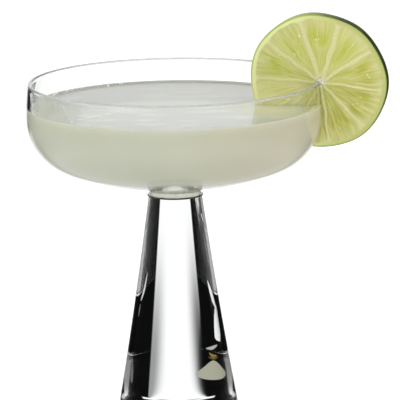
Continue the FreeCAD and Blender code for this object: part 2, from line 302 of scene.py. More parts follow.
# %% Draw the section of the glass and turn it
RIM_ROUND = WALL * 0.45
GLASS_STEPS = 192
glass = pen_down(0, 0)
pen_line(glass, FOOT_RADIUS, 0)
chord = Vector((STEM_TOP_RADIUS - FOOT_RADIUS, COLLAR_BOTTOM))
stem_arc_radius = chord.length**2 / (8 * STEM_HOLLOW) + STEM_HOLLOW / 2
outward = Vector((chord.y, -chord.x)).normalized()
middle = Vector((FOOT_RADIUS + STEM_TOP_RADIUS, COLLAR_BOTTOM)) / 2
stem_centre = middle + outward * (stem_arc_radius - STEM_HOLLOW)
stem_turn = -2 * math.asin(chord.length / 2 / stem_arc_radius)
pen_arc(glass, stem_centre, stem_turn, 24)
pen_line(glass, COLLAR_RADIUS, COLLAR_BOTTOM)
pen_line(glass, COLLAR_RADIUS, COLLAR_TOP)
pen_line(glass, NECK_RADIUS, COLLAR_TOP)
neck_angle = -math.acos(NECK_RADIUS / FLOOR_RADIUS)
neck_top = FLOOR_CENTRE + FLOOR_RADIUS * math.sin(neck_angle)
pen_line(glass, NECK_RADIUS, neck_top)
pen_arc(glass, (0, FLOOR_CENTRE), JOIN_ANGLE - neck_angle, 26)
pen_arc(glass, (SIDE_CENTRE, WIDEST), -JOIN_ANGLE, 26)
pen_arc(glass, (LIP_CENTRE, WIDEST), LIP_ANGLE, 8)
rim_outside = tuple(glass["pen"])
# The inner wall has the same three centres, so the rim's inner edge lies on a
# line to the lip's centre, and is then brought up to the rim's height.
rim_inside = (LIP_CENTRE + math.sqrt((LIP_RADIUS - WALL) ** 2 - LIP_HEIGHT**2), RIM)
pen_line(glass, *rim_inside)
inner_lip_angle = math.asin(LIP_HEIGHT / (LIP_RADIUS - WALL))
pen_arc(glass, (LIP_CENTRE, WIDEST), -inner_lip_angle, 8)
pen_arc(glass, (SIDE_CENTRE, WIDEST), JOIN_ANGLE, 26)
pen_arc(glass, (0, FLOOR_CENTRE), -math.pi / 2 - JOIN_ANGLE, 30)
round_corner(glass, FOOT_RADIUS, 0, FOOT_ROUND)
round_corner(glass, NECK_RADIUS, neck_top, NECK_BLEND)
round_corner(glass, COLLAR_RADIUS, COLLAR_BOTTOM, COLLAR_ROUND)
round_corner(glass, COLLAR_RADIUS, COLLAR_TOP, COLLAR_ROUND)
round_corner(glass, *rim_outside, RIM_ROUND)
round_corner(glass, *rim_inside, RIM_ROUND)
turn_round(glass, GLASS_STEPS)
bpy.ops.object.shade_smooth_by_angle(angle=math.radians(28))
finish_piece(glass, "coupe_glass", "glass")

# %% [markdown]
# ## Clear glass
# Soda-lime glass: clear, hard and fire-polished, so it has no colour and no
# roughness of its own, only what fingers, washing and pressing leave. Long soft
# waves from the mould bend what is seen through the thick stem a little, and
# faint dried water marks dull it in places. Both come from noise in the
# material, because they are far too shallow to model.

# %% Clear glass material
GLASS_IOR = 1.52
WAVE_SIZE = 14.0
WATER_MARK_SIZE = 5.0
clear_glass, add = new_material("fire_polished_soda_lime_glass")
coordinates = add("ShaderNodeTexCoord").outputs["Object"]
# A pattern scale is one over its size in metres.
waves = add("ShaderNodeTexNoise", Vector=coordinates, Scale=1 / (WAVE_SIZE * MM), Detail=1.0)
wave_bump = add("ShaderNodeBump", Height=waves, Strength=0.05, Distance=0.1 * MM)
marks = add(
    "ShaderNodeTexNoise",
    Vector=coordinates,
    Scale=1 / (WATER_MARK_SIZE * MM),
    Detail=4.0,
    Roughness=0.6,
)
dulling = add(*SMOOTH_RUN, marks, 0.55, 0.75, 0.0, 0.03)
shader = add(
    "ShaderNodeBsdfPrincipled",
    Base_Color="fcfefd",
    Roughness=dulling,
    Normal=wave_bump,
    IOR=GLASS_IOR,
    Specular_Tint="303030",
    Transmission_Weight=1.0,
)
coat(glass, clear_glass, shader)

# %% [markdown]
# The same glass looks different where it is thin or close to the drink, and here
# that look is painted. The collar's sharp rim, seen along its sheet, gets a fine
# dark line of painted shade. The lip gets a soft painted grey line and not a black
# one. The neck is painted with the light that comes down from the drink. Each of
# these bands of faces gets a glass of its own, which lets less light straight through.

# %% Glass of the collar, lip and neck
LIP_BAND = 0.75
GRIND_SIZE = 1.5


def painted_light_glass(name, first, second, clear, roughness):
    """Adds a glass with painted light and shade: it lets only part of the light through, in a
    colour between two.
    """
    material, add = new_material(name)
    coordinates = add("ShaderNodeTexCoord").outputs["Object"]
    grind = add("ShaderNodeTexNoise", Vector=coordinates, Scale=1 / (GRIND_SIZE * MM))
    ground = add(*SMOOTH_RUN, grind, 0.35, 0.65)
    tint = add(*COLOUR_MIX, ground, first, second)
    shader = add(
        "ShaderNodeBsdfPrincipled",
        Base_Color=tint,
        Roughness=roughness,
        IOR=GLASS_IOR,
        Transmission_Weight=clear,
    )
    coat(glass, material, shader)


# Painted shade: the collar's dark line. Painted grey line on the lip, and painted light from the
# drink on the neck.
painted_light_glass("painted_dark_collar_line", "20201a", "2c2c26", 0.05, 0.1)
painted_light_glass("painted_grey_lip_line", "d0d2cc", "dddfda", 0.45, 0.05)
painted_light_glass("neck_lit_by_drink", "c2c2b2", "cfcfc0", 0.5, 0.15)
for face in glass.data.polygons:
    out = math.hypot(face.center.x, face.center.y) / MM
    height = face.center.z / MM
    if COLLAR_BOTTOM - 0.01 < height < COLLAR_TOP + 0.01 and out > COLLAR_RADIUS - COLLAR_ROUND:
        face.material_index = 1
    elif height > RIM - LIP_BAND:
        face.material_index = 2
    elif COLLAR_TOP < height < neck_top + 0.1 and out < NECK_RADIUS + NECK_BLEND:
        face.material_index = 3 if out > NECK_RADIUS - 0.1 else 0
bands = [face.material_index for face in glass.data.polygons]
print("faces of clear glass, collar, lip, neck:", [bands.count(index) for index in range(4)])

# %% [markdown]
# ## The drink
# Rum, lime juice and sugar shaken with ice make a cloudy, pale green-grey drink
# with fine foam at its edge. It wets the glass, so its skin climbs the wall a
# little. A drink that only touches the wall would show a silver gap of air, so
# this one is drawn a little way into the glass. Its section is drawn with the
# pen, like the glass, and spun round.

# %% Draw the drink and turn it
HEADSPACE = 8.4
LEVEL = RIM - HEADSPACE
WALL_REACH = 0.2
CLIMB_WIDTH = 1.6
CLIMB_RADIUS = 3.2
TOP_RINGS = 48
DRINK_STEPS = 240
drink_wall = WALL - WALL_REACH
drink = pen_down(0, FLOOR_HEIGHT + drink_wall)
pen_arc(drink, (0, FLOOR_CENTRE), JOIN_ANGLE + math.pi / 2, 26)
pen_arc(drink, (SIDE_CENTRE, WIDEST), -JOIN_ANGLE, 20)
climb = CLIMB_RADIUS - math.sqrt(CLIMB_RADIUS**2 - CLIMB_WIDTH**2)
top_angle = math.asin((LEVEL + climb - WIDEST) / (LIP_RADIUS - drink_wall))
pen_arc(drink, (LIP_CENTRE, WIDEST), top_angle, 6)
top_radius = drink["pen"][0] - CLIMB_WIDTH
climb_turn = -math.asin(CLIMB_WIDTH / CLIMB_RADIUS)
pen_arc(drink, (top_radius, LEVEL + CLIMB_RADIUS), climb_turn, 8)
for ring in range(TOP_RINGS):
    pen_line(drink, top_radius * (1 - (ring + 1) / TOP_RINGS), LEVEL)
turn_round(drink, DRINK_STEPS)
bpy.ops.object.shade_smooth_by_angle(angle=math.radians(60))
print(f"drink level {LEVEL:.1f} mm, skin climbs {climb:.1f} mm at the wall")

# %% [markdown]
# ## The lime wheel
# A slice from the middle of a lime: ten segments between thin membranes, a
# fibrous core, a band of pale pith and a thin green peel. Each segment is packed
# with juice sacs, long drops that point at the core. The slice starts as half of
# its section, spun into a disc of fine rings, so that the sacs can be real
# relief. The disc lies flat at first and is then stood up in its place.

# %% Sizes of the lime, in millimetres and degrees
LIME_RADIUS = 23.0
LIME_OVAL = 0.6
LONG_AXIS = -30.0
LIME_WAVER = 0.15
LIME_WAVES = 7
LIME_THICKNESS = 5.2
LIME_AZIMUTH = -3.0
LIME_TURN = -10.0
LIME_OUTWARD = 0.65
PEEL_CROWN = 0.15
PEEL_EDGE = 0.2
LIME_STEPS = 480
LIME_RINGS = 76
RIM_RADIUS = LIP_CENTRE + math.sqrt(LIP_RADIUS**2 - LIP_HEIGHT**2)
LIME_REACH = RIM_RADIUS - WALL / 2 + LIME_OUTWARD
azimuth = math.radians(LIME_AZIMUTH)
LIME_CENTRE = Vector((LIME_REACH * math.cos(azimuth), LIME_REACH * math.sin(azimuth), RIM))
# The flat disc's X, Y and Z turn into right, up and towards the viewer.
STAND_UP = (
    Matrix.Translation(LIME_CENTRE * MM)
    @ Matrix.Rotation(math.radians(LIME_TURN), 4, "Z")
    @ Matrix.Rotation(math.radians(90), 4, "X")
)
print("lime centre", [round(c, 2) for c in LIME_CENTRE])


def lime_outline(angle):
    """The radius of the wheel in a direction, in radians from its right."""
    oval = LIME_OVAL * math.cos(2 * (angle - math.radians(LONG_AXIS)))
    return LIME_RADIUS + oval + LIME_WAVER * math.cos(LIME_WAVES * angle)


# %% [markdown]
# The two faces need many points for the relief, so their lines in the section
# are subdivided before it is turned. Each ring is then stretched to the wheel's
# slightly uneven outline.


# %% Turn a flat disc and stand it up
def select_place(piece, radius, height, also=None):
    """Selects the drawing's point at a place, and one more if it is given."""
    bpy.ops.mesh.select_all(action="DESELECT")
    leave_edit()
    for spot in (radius, height), also or (radius, height):
        target = Vector((spot[0] * MM, 0, spot[1] * MM))
        near = min(piece.data.vertices, key=lambda v: (v.co - target).length)
        near.select = True
    for line in piece.data.edges:
        line.select = all(piece.data.vertices[i].select for i in line.vertices)
    bpy.ops.object.mode_set(mode="EDIT")


def make_wheel(shrink, rings, steps):
    """A slice of lime with plain faces, standing in its place on the rim."""
    half = LIME_THICKNESS / 2 - shrink
    radius = LIME_RADIUS - shrink
    face_radius = radius - PEEL_CROWN - PEEL_EDGE
    wheel = pen_down(0, -half)
    pen_line(wheel, face_radius, -half)
    bpy.ops.mesh.select_all(action="SELECT")
    bpy.ops.mesh.subdivide(number_cuts=rings - 1)
    select_place(wheel, face_radius, -half)
    side = half - PEEL_EDGE
    pen_arc(wheel, (face_radius, -side), math.pi / 2, 4)
    crown_radius = (side**2 + PEEL_CROWN**2) / (2 * PEEL_CROWN)
    crown_turn = 2 * math.asin(side / crown_radius)
    crown_centre = (face_radius + PEEL_EDGE + PEEL_CROWN - crown_radius, 0)
    pen_arc(wheel, crown_centre, crown_turn, 10)
    pen_arc(wheel, (face_radius, side), math.pi / 2, 4)
    pen_line(wheel, 0, half)
    select_place(wheel, face_radius, half, also=(0, half))
    bpy.ops.mesh.subdivide(number_cuts=rings - 1)
    turn_round(wheel, steps)
    for vertex in wheel.data.vertices:
        angle = math.atan2(vertex.co.y, vertex.co.x)
        stretch = (lime_outline(angle) - shrink) / radius
        vertex.co.x *= stretch
        vertex.co.y *= stretch
    wheel.data.transform(STAND_UP)
    return wheel


def cut_away(piece, cutter):
    """Takes the cutter's shape out of a piece, and then drops the cutter."""
    work_on(piece)
    cut = piece.modifiers.new("cut", "BOOLEAN")
    cut.operation = "DIFFERENCE"
    cut.solver = "EXACT"
    cut.object = cutter
    bpy.ops.object.modifier_apply(modifier=cut.name)
    bpy.data.objects.remove(cutter)


lime = make_wheel(0, LIME_RINGS, LIME_STEPS)
print("lime disc has", len(lime.data.polygons), "faces")

# %% [markdown]
# The knife slits the wheel from its core down, and the slit closes on the wall
# of the glass. A band that is a hair thicker than the wall, with the same arcs,
# cuts the slit. A slightly smaller wheel cuts the drink, so that no gap shows
# between the two.

# %% Cut the slit, and the drink round the wheel
DRINK_CUT_SHRINK = 0.12
DRINK_CUT_RINGS = 6
DRINK_CUT_STEPS = 120
SLIT_GAP = -0.1
SLIT_TOP = RIM - 0.05
SLIT_BOTTOM = RIM - 28
slit = pen_down(SIDE_CENTRE + 5, SLIT_BOTTOM)
outer = SIDE_RADIUS + SLIT_GAP
inner = SIDE_RADIUS - WALL - SLIT_GAP
outer_start = math.asin((SLIT_BOTTOM - WIDEST) / outer)
inner_start = math.asin((SLIT_BOTTOM - WIDEST) / inner)
pen_line(slit, SIDE_CENTRE + outer * math.cos(outer_start), SLIT_BOTTOM)
pen_arc(slit, (SIDE_CENTRE, WIDEST), -outer_start, 16)
outer = LIP_RADIUS + SLIT_GAP
inner = LIP_RADIUS - WALL - SLIT_GAP
slit_top = SLIT_TOP - WIDEST
pen_arc(slit, (LIP_CENTRE, WIDEST), math.asin(slit_top / outer), 8)
inner_top = LIP_CENTRE + math.sqrt(inner**2 - slit_top**2)
pen_line(slit, inner_top, SLIT_TOP)
pen_arc(slit, (LIP_CENTRE, WIDEST), -math.asin(slit_top / inner), 8)
pen_arc(slit, (SIDE_CENTRE, WIDEST), inner_start, 16)
pen_line(slit, SIDE_CENTRE + 5, SLIT_BOTTOM)
turn_round(slit, GLASS_STEPS)
cut_away(lime, slit)
cut_away(drink, make_wheel(DRINK_CUT_SHRINK, DRINK_CUT_RINGS, DRINK_CUT_STEPS))
finish_piece(drink, "cloudy_daiquiri", "daiquiri")
print("lime after the slit has", len(lime.data.polygons), "faces")

# %% [markdown]
# The segments aren't quite even, and the membranes between them are thicker on
# one side of the wheel. For each point of the slice, its distances from the
# membranes, the rind and the core say how deep it lies in juicy flesh. Rounding
# off the smallest of those distances rounds the corners of every segment, which
# gives the pith its scalloped edge.

# %% Where the flesh lies
CELL_COUNT = 10
CELL_START = -5.0
CELL_WAVER = 6.0
RIND_WIDTH = 1.5
CORE_RIGHT = 0.7
CORE_DOWN = 0.4
CORE_RADIUS = 1.1
MEMBRANE_THIN = 0.12
MEMBRANE_THICK = 0.6


def membrane_direction(index):
    """The direction of a membrane in degrees, from the right towards the top."""
    shift = CELL_WAVER * math.sin(2 * math.pi * (index - 0.5) / CELL_COUNT)
    return CELL_START + index * 360 / CELL_COUNT + shift


def membrane_half(index):
    """Half of a membrane's thickness: thick at the top, thin at the bottom."""
    top = (1 + math.sin(math.radians(membrane_direction(index)))) / 2
    return MEMBRANE_THIN + (MEMBRANE_THICK - MEMBRANE_THIN) * top**4


def segment_at(angle):
    """The segment in a direction, and the direction's turn past its start."""
    for index in range(CELL_COUNT):
        start = membrane_direction(index)
        width = (membrane_direction(index + 1) - start) % 360
        offset = (angle - start) % 360
        if offset < width:
            return index, offset, width
    return 0, 0.0, 360 / CELL_COUNT


def rounded_least(first, second, blend):
    """The smaller of two distances, rounded off where they are close."""
    close = max(blend - abs(first - second), 0) / blend
    return min(first, second) - close**2 * blend / 4


def smooth_step(value, start, end):
    """A value's run from start to end as a smooth run from 0 to 1."""
    part = min(max((value - start) / (end - start), 0), 1)
    return part * part * (3 - 2 * part)


def flesh_depth(place):
    """How deep a flat place lies in flesh, and its segment, turn and reach."""
    right = place.x - CORE_RIGHT
    up = place.y + CORE_DOWN
    reach = max(math.hypot(right, up), 0.01)
    sway = 0.45 * noise.noise(Vector((place.x, place.y, 0)) / 5)
    angle = math.degrees(math.atan2(up, right) + sway / max(reach, 3))
    index, offset, width = segment_at(angle)
    walls = []
    for turn, membrane in ((offset, index), (width - offset, (index + 1) % CELL_COUNT)):
        across = reach * math.sin(math.radians(min(turn, 90)))
        walls.append(across - membrane_half(membrane))
    depth = rounded_least(*walls, 0.6)
    outline = lime_outline(math.atan2(place.y, place.x))
    skin = outline - math.hypot(place.x, place.y)
    rind = RIND_WIDTH + 0.45 * noise.noise(Vector((place.x, place.y, 7)) / 3)
    depth = rounded_least(depth, skin - rind, 1.8)
    core = CORE_RADIUS * (1 + 0.4 * noise.noise(Vector((place.x, place.y, 3))))
    depth = rounded_least(depth, reach - core, 0.8)
    return depth, skin, reach, index, offset / width


print("membranes at", [round(membrane_direction(index)) for index in range(CELL_COUNT)])

# %% [markdown]
# The juice sacs are the cells of a Voronoi pattern in stretched polar
# coordinates: a few across each segment, and several times as long as they are
# wide. Each segment has a pattern of its own, so it has no seam. The sacs bulge
# and the flesh between the membranes has shrunk a little below the cut. The same
# numbers are kept as attributes, so that the colours follow the relief.

# %% Juice sacs as relief
SACS_ACROSS = 6.5
SAC_LENGTH = 9.5
SAC_BULGE = 0.26
FLESH_SINK = 0.32
SEGMENT_STRIDE = 31.7
HALF_SLICE = LIME_THICKNESS / 2
KEPT = ("flesh", "heart", "sac_wall", "sac_tone", "streak", "skin_depth", "core_reach")
kept = {name: [] for name in KEPT}
to_flat = STAND_UP.inverted()
for vertex in lime.data.vertices:
    place = (to_flat @ vertex.co) / MM
    depth, skin, reach, index, across = flesh_depth(place)
    face = 1 if place.z > 0 else -1
    spot = Vector(
        (
            across * SACS_ACROSS + SEGMENT_STRIDE * index,
            reach / SAC_LENGTH + 0.37 * index,
            5.5 * face,
        )
    )
    near, cells = noise.voronoi(spot)
    wall = 1 - smooth_step(near[1] - near[0], 0.0, 0.34)
    flesh = smooth_step(depth, -0.1, 0.6)
    fine = Vector((spot.x * 2.7, spot.y * 1.3, spot.z))
    streak = 0.5 + 0.5 * noise.noise(fine)
    bulge = smooth_step(near[1] - near[0], 0.0, 0.6)
    sunk = FLESH_SINK * (1 + 0.5 * noise.noise(place / 4))
    relief = flesh * (SAC_BULGE * bulge - sunk)
    place.z *= (HALF_SLICE + relief) / HALF_SLICE
    vertex.co = STAND_UP @ (place * MM)
    heart = smooth_step(depth, 0.6, 3.2)
    tone = 0.5 + 0.5 * noise.noise(cells[0] * 5.3)
    for name, value in zip(KEPT, (flesh, heart, wall * flesh, tone, streak, skin, reach)):
        kept[name].append(value)
for name, values in kept.items():
    layer = lime.data.attributes.new(name, "FLOAT", "POINT")
    layer.data.foreach_set("value", values)
print("relief of", len(kept["flesh"]), "points")

# %% [markdown]
# ## Cut lime
# Wet citrus flesh lets light in and gives it back paler and yellower, so its
# colour sits under the surface. Juice is a clear yellow-green, the walls of the
# sacs and the membranes are paler, the pith is a creamy green, and the thin skin
# shows as a green line at the edge of the cut. Everything follows the attributes
# of the relief, with finer grain from noise.

# %% Cut lime material
cut_lime, add = new_material("wet_cut_lime")
coordinates = add("ShaderNodeTexCoord").outputs["Object"]
parts = add("ShaderNodeSeparateXYZ", Vector=coordinates).outputs
patches, grain, threads, glints = (
    add("ShaderNodeTexNoise", Vector=coordinates, Scale=1 / (size * MM), Detail=detail)
    for size, detail in ((5, 2.0), (0.5, 3.0), (0.8, 1.0), (1.1, 0.0))
)
fields = {
    name: add("ShaderNodeAttribute", {"attribute_name": name}).outputs["Fac"] for name in KEPT
}
print("lime flesh reads", len(fields), "attributes")

# %% [markdown]
# Each sac's juice has a tone of its own. Over it lie a green heart, a darker tone
# low on the outer side, which is painted shade, a pale zone at the rind, light streaks and the
# sacs' walls.

# %% Colours of the juice
# Painted shade: the juice is darker low on the wheel's outer side, away from the light.
SHADED_SIDE = Vector((0.62, 0.0, -0.78))
tone = add(*SMOOTH_RUN, fields["sac_tone"], 0.3, 0.7)
juice = add(*COLOUR_MIX, tone, "d8d888", "c9c967")
patch = add(*SMOOTH_RUN, patches, 0.38, 0.6)
heart = add(*MULTIPLY, fields["heart"], 0.9)
heart = add(*MULTIPLY, heart, patch)
lean = add("ShaderNodeVectorMath", {"operation": "DOT_PRODUCT"}, coordinates, SHADED_SIDE)
ends = [(LIME_CENTRE.dot(SHADED_SIDE) + side * LIME_RADIUS) * MM for side in (-0.4, 0.8)]
deep = add(*SMOOTH_RUN, lean.outputs["Value"], *ends)
deep = add(*SMOOTH_RUN, deep, 0.0, 1.0, 0.0, 0.65)
pale_rim = add(*SMOOTH_RUN, fields["skin_depth"], 2.0, 8.0, 0.7, 0.0)
streaks = add(*SMOOTH_RUN, fields["streak"], 0.5, 0.8, 0.0, 0.6)
walls = add(*MULTIPLY, fields["sac_wall"], 0.4)
for share, tint in (
    (heart, "c3ca4a"),
    (deep, "aca63c"),
    (pale_rim, "d6d696"),
    (streaks, "e2e1a6"),
    (walls, "dfde9c"),
):
    juice = add(*COLOUR_MIX, share, juice, tint)
print("lime juice is deeper from", [round(end / MM, 1) for end in ends], "mm down the slice")

# %% [markdown]
# Membranes and core are a fibrous cream. From the outside in, the rind turns from
# skin to white pith. It is painted lighter on the side of the drink and darker on
# the outer side: painted light and shade.

# %% Colours of the membranes and the rind
fibre = add(*SMOOTH_RUN, grain, 0.4, 0.65)
membrane = add(*COLOUR_MIX, fibre, "dbda9c", "e4e2b4")
thread = add(*SMOOTH_RUN, threads, 0.42, 0.56)
threaded = add(*COLOUR_MIX, thread, "bcb98a", "f4f2e4")
core = add(*SMOOTH_RUN, fields["core_reach"], 0.8, 2.4, 0.85, 0.0)
membrane = add(*COLOUR_MIX, core, membrane, threaded)
# Painted light and shade: the rind is lighter towards the inner side and darker outside.
painted_light_inner_side = add(*SMOOTH_RUN, parts["X"], 62 * MM, 34 * MM)
zest = add(*COLOUR_MIX, painted_light_inner_side, "43551a", "b3c46c")
under_zest = add(*SMOOTH_RUN, fields["skin_depth"], 0.15, 0.5)
skin = add(*COLOUR_MIX, under_zest, zest, "a5b65a")
white_rind = add(*COLOUR_MIX, painted_light_inner_side, "c8ca84", "eff5b8")
past_pith = add(*SMOOTH_RUN, fields["skin_depth"], 1.4, 2.6)
pith = add(*COLOUR_MIX, past_pith, white_rind, membrane)
past_skin = add(*SMOOTH_RUN, fields["skin_depth"], 0.3, 0.9)
rind = add(*COLOUR_MIX, past_skin, skin, pith)
colour = add(*COLOUR_MIX, fields["flesh"], rind, juice)
print("the rind turns to flesh", RIND_WIDTH, "mm in")

# %% [markdown]
# The flesh near the drink is painted paler, painted light from the drink, and
# white specks are painted on as glints of juice. Wet flesh is smooth and the rind
# is matt. Light goes a millimetre into both.

# %% Light in the lime
# Painted light: the flesh near the drink is paler.
inward = add(*SMOOTH_RUN, parts["X"], 50 * MM, 42 * MM)
by_drink = add(*SMOOTH_RUN, parts["Z"], (RIM + 5) * MM, (RIM - 7) * MM)
by_drink = add(*MULTIPLY, by_drink, inward)
by_drink = add(*MULTIPLY, by_drink, 0.6)
# Painted highlights: glints of juice as white specks in the colour.
group = add(*SMOOTH_RUN, patches, 0.56, 0.62)
glint = add(*SMOOTH_RUN, glints, 0.72, 0.8, 0.0, 0.8)
glint = add(*MULTIPLY, glint, group)
glint = add(*MULTIPLY, glint, fields["flesh"])
for share, tint in ((by_drink, "f2f0b8"), (glint, "fbfbec")):
    colour = add(*COLOUR_MIX, share, colour, tint)
roughness = add(*SMOOTH_RUN, fields["flesh"], 0.0, 1.0, 0.5, 0.22)
bump = add("ShaderNodeBump", Height=grain, Strength=0.3, Distance=0.08 * MM)
shader = add(
    "ShaderNodeBsdfPrincipled",
    Base_Color=colour,
    Roughness=roughness,
    IOR=1.36,
    Normal=bump,
    Subsurface_Weight=0.7,
    Subsurface_Radius=(1.0, 0.95, 0.35),
    Subsurface_Scale=1.2 * MM,
)
coat(lime, cut_lime, shader)

# %% [markdown]
# ## Lime peel
# The skin of a lime is waxy and closely set with oil glands, little pits under a
# millimetre across. It is dark green with paler yellow-green patches, and the
# wax gives it a soft gloss. On the side towards the glass it is painted lighter:
# painted light.

# %% Lime peel material
lime_peel, add = new_material("waxy_lime_peel")
coordinates = add("ShaderNodeTexCoord").outputs["Object"]
glands = add(
    "ShaderNodeTexVoronoi",
    {"feature": "SMOOTH_F1"},
    Vector=coordinates,
    Scale=1 / (0.9 * MM),
    Smoothness=0.4,
)
mottle = add("ShaderNodeTexNoise", Vector=coordinates, Scale=1 / (7 * MM), Detail=3.0)
mottled = add(*SMOOTH_RUN, mottle, 0.38, 0.68)
green = add(*COLOUR_MIX, mottled, "222e0a", "44561b")
parts = add("ShaderNodeSeparateXYZ", Vector=coordinates).outputs
# Painted light: the peel is lighter on its inner side and darker outside.
painted_light_inner_side = add(*SMOOTH_RUN, parts["X"], 58 * MM, 38 * MM)
pits = add(*SMOOTH_RUN, glands.outputs["Distance"], 0.0, 0.45, 0.5, 0.0)
for share, tint in ((painted_light_inner_side, "b4c474"), (pits, "1f2b0a")):
    green = add(*COLOUR_MIX, share, green, tint)
bump = add("ShaderNodeBump", Height=glands.outputs["Distance"], Strength=0.6, Distance=0.12 * MM)
shader = add(
    "ShaderNodeBsdfPrincipled",
    Base_Color=green,
    Roughness=add(*SMOOTH_RUN, mottle, 0.3, 0.7, 0.32, 0.45),
    IOR=1.45,
    Specular_IOR_Level=0.15,
    Normal=bump,
)
coat(lime, lime_peel, shader)

# %% [markdown]
# The peel is the faces round the wheel that lie within its crown and look
# outwards, so the sides of the slit keep the look of cut flesh.

# %% Peel on the outer faces
lime_axis = STAND_UP.to_3x3() @ Vector((0, 0, 1))
peel_faces = 0
for face in lime.data.polygons:
    depths = [kept["skin_depth"][corner] for corner in face.vertices]
    if max(depths) < PEEL_EDGE + PEEL_CROWN and abs(face.normal.dot(lime_axis)) < 0.6:
        face.material_index = 1
        peel_faces += 1
work_on(lime)
bpy.ops.object.shade_smooth_by_angle(angle=math.radians(50))
finish_piece(lime, "lime_slice", "lime_wheel")
print("peel on", peel_faces, "faces")

# %% [markdown]
# ## The look of the drink
# The cloud in the drink is lime juice and tiny bubbles. Light goes in, scatters
# and comes back milky, with a little more yellow where it is deep and near the
# lime. Fine foam gathers on top in faint streaks and along the wall.

# %% Cloudy drink material
DRINK_IOR = 1.34
cloudy, add = new_material("shaken_lime_and_rum")
coordinates = add("ShaderNodeTexCoord").outputs["Object"]
parts = add("ShaderNodeSeparateXYZ", Vector=coordinates).outputs
swirl = add("ShaderNodeTexNoise", Vector=coordinates, Scale=1 / (22 * MM), Detail=2.0)
to_lime = add(*SMOOTH_RUN, parts["X"], -10 * MM, 45 * MM)
body = add(*COLOUR_MIX, to_lime, "dcddce", "dcd6c0")
swirls = add(*SMOOTH_RUN, swirl, 0.35, 0.7, 0.0, 0.35)
body = add(*COLOUR_MIX, swirls, body, "d6d8c5")
print("refractive index of the drink:", DRINK_IOR)

# %% [markdown]
# The surface is painted greyer than the body, and lighter towards the back:
# painted reflection. It gets a painted yellow-green shine by the lime, long veils
# of foam, and a band of painted shade where it climbs the wall at the back.

# %% Colours of the drink's surface
# Painted reflection: the surface is lighter towards the back, with a yellow-green shine near the
# lime.
LIME_SHINE_PLACE = Vector((38, -9, LEVEL)) * MM
painted_light_to_back = add(*SMOOTH_RUN, parts["Y"], -30 * MM, 30 * MM)
top = add(*COLOUR_MIX, painted_light_to_back, "c6c7c1", "d9dad4")
from_lime = add("ShaderNodeVectorMath", {"operation": "DISTANCE"}, coordinates, LIME_SHINE_PLACE)
painted_lime_shine = add(*SMOOTH_RUN, from_lime.outputs["Value"], 6 * MM, 24 * MM, 0.65, 0.0)
stretched = add(
    "ShaderNodeMapping", Vector=coordinates, Scale=(1, 2.5, 1), Rotation=(0, 0, math.radians(-35))
)
veil = add("ShaderNodeTexNoise", Vector=stretched, Scale=1 / (18 * MM), Detail=3.0)
veils = add(*SMOOTH_RUN, veil, 0.48, 0.7, 0.0, 0.6)
flat = add("ShaderNodeCombineXYZ", X=parts["X"], Y=parts["Y"])
from_axis = add("ShaderNodeVectorMath", {"operation": "LENGTH"}, flat)
from_axis = from_axis.outputs["Value"]
# Painted shade: a darker band at the back, where the surface climbs the wall.
at_back = add(*SMOOTH_RUN, parts["Y"], 0.0, 25 * MM, 0.0, 0.8)
wide = add(*SMOOTH_RUN, from_axis, (top_radius - 5) * MM, top_radius * MM)
wide = add(*MULTIPLY, wide, at_back)
for share, tint in ((painted_lime_shine, "e2e0b4"), (veils, "e4e5de"), (wide, "b4b5b0")):
    top = add(*COLOUR_MIX, share, top, tint)
print("surface has", round(top_radius, 2), "mm in radius")

# %% [markdown]
# The surface's colour ends at its edge, and in front a little before it, where
# the drink that climbs the wall shows its body. The body is painted with a faint
# glow of its own, less near the surface: painted light that stands in for light
# scattered inside.

# %% Surface, body and glow together
on_top = add(*SMOOTH_RUN, parts["Z"], (LEVEL - 0.5) * MM, (LEVEL - 0.05) * MM)
edge = add(*SMOOTH_RUN, from_axis, (top_radius - 0.4) * MM, top_radius * MM)
rim_band = add(*MULTIPLY, edge, on_top)
front = add(*SMOOTH_RUN, parts["Y"], 10 * MM, -10 * MM)
front_band = add(*MULTIPLY, rim_band, front)
on_top = add(*SUBTRACT, on_top, front_band)
body = add(*COLOUR_MIX, on_top, body, top)
# Painted light: the body glows a little of its own.
glow = add(*SMOOTH_RUN, parts["Z"], (LEVEL - 9) * MM, LEVEL * MM, 0.25, 0.17)
glow = add(*VALUE_MIX, on_top, glow, 0.0)
shader = add(
    "ShaderNodeBsdfPrincipled",
    Base_Color=body,
    Roughness=add(*SMOOTH_RUN, rim_band, 0.0, 1.0, 0.12, 0.5),
    IOR=DRINK_IOR,
    Emission_Color=body,
    Emission_Strength=glow,
    Subsurface_Weight=0.8,
    Subsurface_Radius=(1.0, 1.0, 0.7),
    Subsurface_Scale=6 * MM,
)
coat(drink, cloudy, shader)

# %% [markdown]
# ## Film and foam
# Shaking leaves the drink's skin on the wall and fine foam where it meets the
# glass. The film is a thin sheet pressed on the inner wall at the front left,
# turned like the glass but only part of the way round.

# %% Film on the wall
FILM_REACH = 0.08
FILM_THICK = 0.12
FILM_TOP = RIM - 0.9
FILM_FROM, FILM_TO = 4.0, 62.0
film_outside = LIP_RADIUS - WALL + FILM_REACH
film_inside = LIP_RADIUS - WALL - FILM_THICK


def wall_turn(radius, height):
    """The direction from the lip's centre to a height on one of its arcs."""
    return math.asin((height - WIDEST) / radius)


